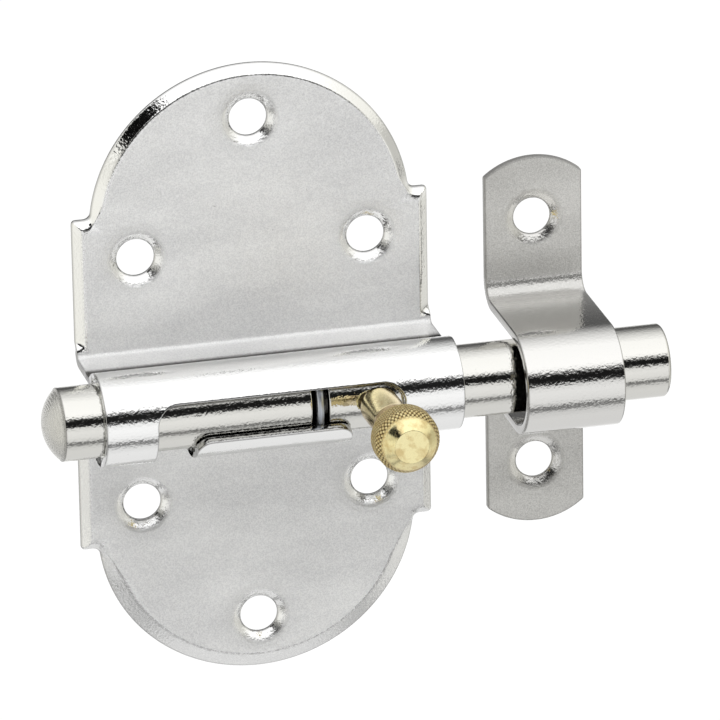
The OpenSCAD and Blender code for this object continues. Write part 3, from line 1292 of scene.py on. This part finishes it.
@dataclass
class Knob:
    """The turned brass knob: screwed neck, plain stem, flared bell and knurled head."""

    x: float = 15.3
    angle: float = 92.0
    neck_r: float = 2.5
    neck_from: float = -1.0
    stem_from: float = 7.1
    stem_r: float = 3.2
    bell_from: float = 16.4
    head_from: float = 22.2
    head_r: float = 5.3
    taper_from: float = 25.3
    end: float = 28.098
    end_r: float = 2.8
    knurls: int = 42
    knurl_depth: float = 0.2
    knurl_slope: float = 1.05

    def knurl(self, along: float, round_angle: float) -> float:
        """Depth of the diamond knurl.

        Args:
            along: distance from the bolt's axis.
            round_angle: angle about the knob, in radians.

        Returns:
            How deep: 0 on the crests, near 0.7 in one groove and 1.4 where two cross.
        """
        slant = along * self.knurl_slope / self.head_r
        first = math.cos(self.knurls * (round_angle + slant))
        second = math.cos(self.knurls * (round_angle - slant))
        return (max(first, 0.0) ** 2 + max(second, 0.0) ** 2) / 1.4

    def make(self, finish: Material) -> Piece:
        """Build the knob.

        Args:
            finish: its material.

        Returns:
            The finished piece.
        """
        mid = (self.head_r + self.end_r) / 2 + 0.3
        stem, bell, head, taper = self.stem_from, self.bell_from, self.head_from, self.taper_from
        shape = [
            (self.neck_from, 0.0), (self.neck_from, self.neck_r), (stem, self.neck_r),
            (stem, self.stem_r - 0.4), (stem + 0.15, self.stem_r - 0.15), (stem + 0.4, self.stem_r),
            (bell - 0.3, self.stem_r), (bell + 0.3, self.stem_r + 0.1),
            (head - 0.3, self.head_r - 0.2), (head, self.head_r - 0.08), (head + 0.1, self.head_r),
            (taper - 0.2, self.head_r), (taper + 0.25, self.head_r - 0.2), (taper + 1.4, mid),
            (self.end - 0.15, self.end_r + 0.15), (self.end, self.end_r), (self.end, 0.0),
        ]
        bm = turned(dense(shape[:8], 0.5)[:-1] + dense(shape[7:], 0.1), 8 * self.knurls)
        along = bm.verts.layers.float.new("along")
        hollow = bm.verts.layers.float.new("hollow")
        worn = bm.verts.layers.float.new("worn")
        first, last = head + 0.12, taper + 1.25
        for vert in bm.verts:
            here = vert.co.x
            vert[worn] = smooth((here - bell) / 0.4) * (1 - smooth((here - taper - 1.2) / 0.5))
            reach = math.hypot(vert.co.y, vert.co.z)
            vert[along] = (here + reach * 0.6) * MM
            if first < here < last and reach > 1:
                fade = min(1.0, (here - first) / 0.2, (last - here) / 0.5)
                deep = self.knurl(here, math.atan2(vert.co.y, vert.co.z)) * fade
                # painted shade in the knurl's grooves
                vert[hollow] = min(1.3 * deep, 1.0)
                shrink = 1 - self.knurl_depth * deep / reach
                vert.co.y *= shrink
                vert.co.z *= shrink
            # painted shade on the screwed neck under the bolt
            if here < stem + 0.05:
                vert[hollow] = 0.85
        # the profile lies along X; it is stood on the bolt, pointing the way the knob points
        lean = math.radians(self.angle)
        point = Vector((0, -math.sin(lean), -math.cos(lean)))
        side = Vector((1, 0, 0))
        turn = Matrix((point, side, point.cross(side))).transposed()
        bmesh.ops.transform(bm, matrix=turn.to_4x4(), verts=bm.verts)
        bmesh.ops.translate(bm, vec=(self.x, -AXIS_OUT, 0), verts=bm.verts)
        bmesh.ops.recalc_face_normals(bm, faces=bm.faces)
        return new_piece("brass_knob", bm, finish)


@dataclass(frozen=True)
class Studio:
    """White tent: soft light all round, a dark gap where the camera stands and a darker back."""

    floor_z: float = -75.0
    floor_size: float = 1500.0
    # the floor's own light to the camera, and how much of what the camera sees it makes up
    floor_light: float = 1.05
    floor_share: float = 0.92
    lamp_watts: float = 3.0
    lamp_size: tuple[float, float] = (0.5, 0.4)
    lamp_place: tuple[float, float, float] = (-0.25, -0.35, 0.75)
    lamp_aim: tuple[float, float, float] = (0.0, -0.01, 0.0)
    side_light: Colour = (0.95, 0.94, 0.88, 1.0)
    dark: Colour = (0.004, 0.004, 0.004, 1.0)
    opening: tuple[float, float, float] = (-0.68, -0.48, 0.555)
    # where each part of the tent begins and is full, by the ray's direction: plain sides,
    # seams, the opening, and the backdrop behind and below
    sides_at: tuple[float, float] = (0.55, 0.95)
    seams_at: tuple[float, float] = (0.25, 0.1)
    opening_at: tuple[float, float] = (0.962, 0.978)
    behind_at: tuple[float, float] = (0.6, 0.8)
    below_at: tuple[float, float] = (0.02, -0.1)
    # how much light comes from each side, from the far left to the far right
    seams: Pairs = (
        (0.0, 1.0), (0.12, 1.0), (0.16, 0.5), (0.20, 1.0), (0.27, 0.95), (0.30, 0.35),
        (0.33, 0.4), (0.36, 1.0), (0.47, 1.0), (0.66, 1.0), (0.74, 0.9), (0.78, 0.45),
        (0.81, 0.5), (0.86, 1.0), (0.93, 0.9), (1.0, 0.6),
    )
    # light by direction, from the front over the top to the back: degrees above the front
    # horizon, and level
    tent: Pairs = (
        (-180, 0.62), (-150, 0.78), (-75, 0.84), (-58, 0.74), (-50, 0.30), (-44, 0.16),
        (-39, 0.72), (-30, 0.92), (-8, 1.0), (4, 0.85), (9, 0.10), (13, 0.012),
        (27, 0.012), (32, 0.25), (38, 1.15), (46, 1.3), (90, 1.25), (104, 1.05),
        (118, 0.85), (132, 0.55), (146, 0.25), (158, 0.10), (172, 0.14), (180, 0.62),
    )

    def build_tent(self) -> None:
        """Set the world's light."""
        world = bpy.data.worlds.new("white_tent")
        bpy.context.scene.world = world
        world.use_nodes = True
        tree = world.node_tree
        tree.nodes.clear()
        direction = add_node(tree, "ShaderNodeTexCoord").outputs["Generated"]
        sideways, inwards, upwards = add_node(tree, "ShaderNodeSeparateXYZ", i0=direction).outputs
        angle = add_math(tree, "ARCTAN2", upwards, add_math(tree, "MULTIPLY", inwards, -1.0))
        stops = [((degrees + 180) / 360, level) for degrees, level in self.tent]
        front = add_ramp(tree, add_range(tree, angle, -math.pi, math.pi), stops)
        blend = add_range(tree, add_math(tree, "ABSOLUTE", sideways), *self.sides_at)
        around = add_mix(tree, blend, front, self.side_light)
        # seams and poles low in the tent, which upright round parts mirror as bands
        seams = add_ramp(tree, add_range(tree, sideways, -1.0, 1.0), self.seams)
        low = add_range(tree, upwards, *self.seams_at)
        banded = add_mix(tree, low, around, seams, "MULTIPLY")
        # a small dark opening in the tent, high on the left; the plate's upper rim mirrors it
        settings = {"operation": "DOT_PRODUCT"}
        facing = add_node(tree, "ShaderNodeVectorMath", settings, i0=direction, i1=self.opening)
        hole = add_range(tree, facing.outputs["Value"], *self.opening_at)
        pierced = add_mix(tree, hole, banded, self.dark)
        # the backdrop behind and below the object is white to the camera, and in mirrors and glass
        ray = add_node(tree, "ShaderNodeLightPath").outputs
        mirrored = add_math(tree, "MAXIMUM", ray["Is Glossy Ray"], ray["Is Transmission Ray"])
        behind = add_range(tree, inwards, *self.behind_at)
        below = add_range(tree, upwards, *self.below_at)
        backdrop = add_math(tree, "MULTIPLY", behind, below)
        in_mirror = add_math(tree, "MULTIPLY", mirrored, backdrop)
        seen = add_math(tree, "MAXIMUM", ray["Is Camera Ray"], in_mirror)
        light = add_mix(tree, seen, pierced, WHITE)
        shader = add_node(tree, "ShaderNodeBackground", Color=light, Strength=1.0)
        add_node(tree, "ShaderNodeOutputWorld", Surface=shader.outputs[0])

    def build_floor(self) -> None:
        """Lay the pale floor well below the object."""
        bm = bmesh.new()
        bmesh.ops.create_grid(bm, x_segments=1, y_segments=1, size=self.floor_size)
        bmesh.ops.translate(bm, vec=(0, 0, self.floor_z), verts=bm.verts)
        material, tree, shader = new_material("white_paper_floor")
        set_inputs(tree, shader, Base_Color=linear("F2F2F0"), Roughness=0.9)
        lit = add_node(tree, "ShaderNodeEmission", Color=WHITE, Strength=self.floor_light)
        seen = add_node(tree, "ShaderNodeLightPath").outputs["Is Camera Ray"]
        share = add_math(tree, "MULTIPLY", seen, self.floor_share)
        both = add_node(
            tree, "ShaderNodeMixShader", i0=share, i1=shader.outputs[0], i2=lit.outputs[0]
        )
        set_inputs(tree, tree.nodes["Material Output"], Surface=both.outputs[0])
        floor = new_piece("paper_floor", bm, material)
        # mirror surfaces see the tent below them, not the floor's edge
        floor.visible_glossy = False

    def build_lamp(self) -> None:
        """Hang one soft lamp over the front left."""
        lamp = bpy.data.lights.new("soft_box", "AREA")
        lamp.shape = "RECTANGLE"
        lamp.size, lamp.size_y = self.lamp_size
        lamp.energy = self.lamp_watts
        holder = bpy.data.objects.new("soft_box", lamp)
        holder.location = self.lamp_place
        aim = Vector(self.lamp_aim) - Vector(self.lamp_place)
        holder.rotation_euler = aim.to_track_quat("-Z", "Y").to_euler()
        holder.visible_glossy = False
        bpy.context.scene.collection.objects.link(holder)


@dataclass(frozen=True)
class View:
    """The camera: a long lens, a little to the left and above, with a slight roll."""

    yaw: float = 13.96
    rise: float = 21.05
    roll: float = -1.02
    distance: float = 1338.0
    focal_px: float = 8208.0
    image_px: float = 720.0
    sensor_mm: float = 36.0
    sight_m: float = 20.0
    target: tuple[float, float, float] = (17.99, 0.0, -0.80)

    def place(self) -> None:
        """Make the camera and set it as the scene's."""
        yaw, rise, roll = (math.radians(v) for v in (self.yaw, self.rise, self.roll))
        level = math.cos(rise)
        back = Vector((-math.sin(yaw) * level, -math.cos(yaw) * level, math.sin(rise)))
        across = (-back).cross(Vector((0, 0, 1))).normalized()
        upright = across.cross(-back)
        right = math.cos(roll) * across + math.sin(roll) * upright
        top = -math.sin(roll) * across + math.cos(roll) * upright
        data = bpy.data.cameras.new("photo_view")
        data.sensor_width = self.sensor_mm
        data.lens = self.focal_px / self.image_px * self.sensor_mm
        data.clip_end = self.sight_m
        camera = bpy.data.objects.new("photo_view", data)
        turn = Matrix((right, top, back)).transposed().to_4x4()
        turn.translation = (Vector(self.target) + back * self.distance) * MM
        camera.matrix_world = turn
        bpy.context.scene.collection.objects.link(camera)
        bpy.context.scene.camera = camera


def main() -> None:
    """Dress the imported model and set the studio."""
    logging.basicConfig(level=logging.INFO, format="%(message)s")
    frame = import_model()
    LOG.info("nodes: %s", ", ".join(sorted(frame["nodes"])))
    View().place()
    bpy.context.scene.view_settings.view_transform = "Standard"
    sheet = NickelPlate("bright_nickel_on_pressed_steel").make()
    strap = NickelPlate("bright_nickel_on_bent_strap", "E3E2DF", "B4B3B0").make()
    rod = NickelPlate("bright_nickel_on_turned_steel", "E2E1DC", "C4C3BF", turned_ends=True).make()
    stand_in_for(BarrelPlate().make(sheet), "barrel_plate", "plate")
    stand_in_for(Keeper().make(strap), "keeper", "plate")
    stand_in_for(BoltRod().make(rod), "bolt_rod", "bolt")
    stand_in_for(SpringRing().make(SpringWire().make()), "spring_ring", "ring")
    stand_in_for(Knob().make(TurnedBrass().make()), "knob", "bolt")
    studio = Studio()
    studio.build_tent()
    studio.build_floor()
    studio.build_lamp()


if __name__ == "__main__":
    main()
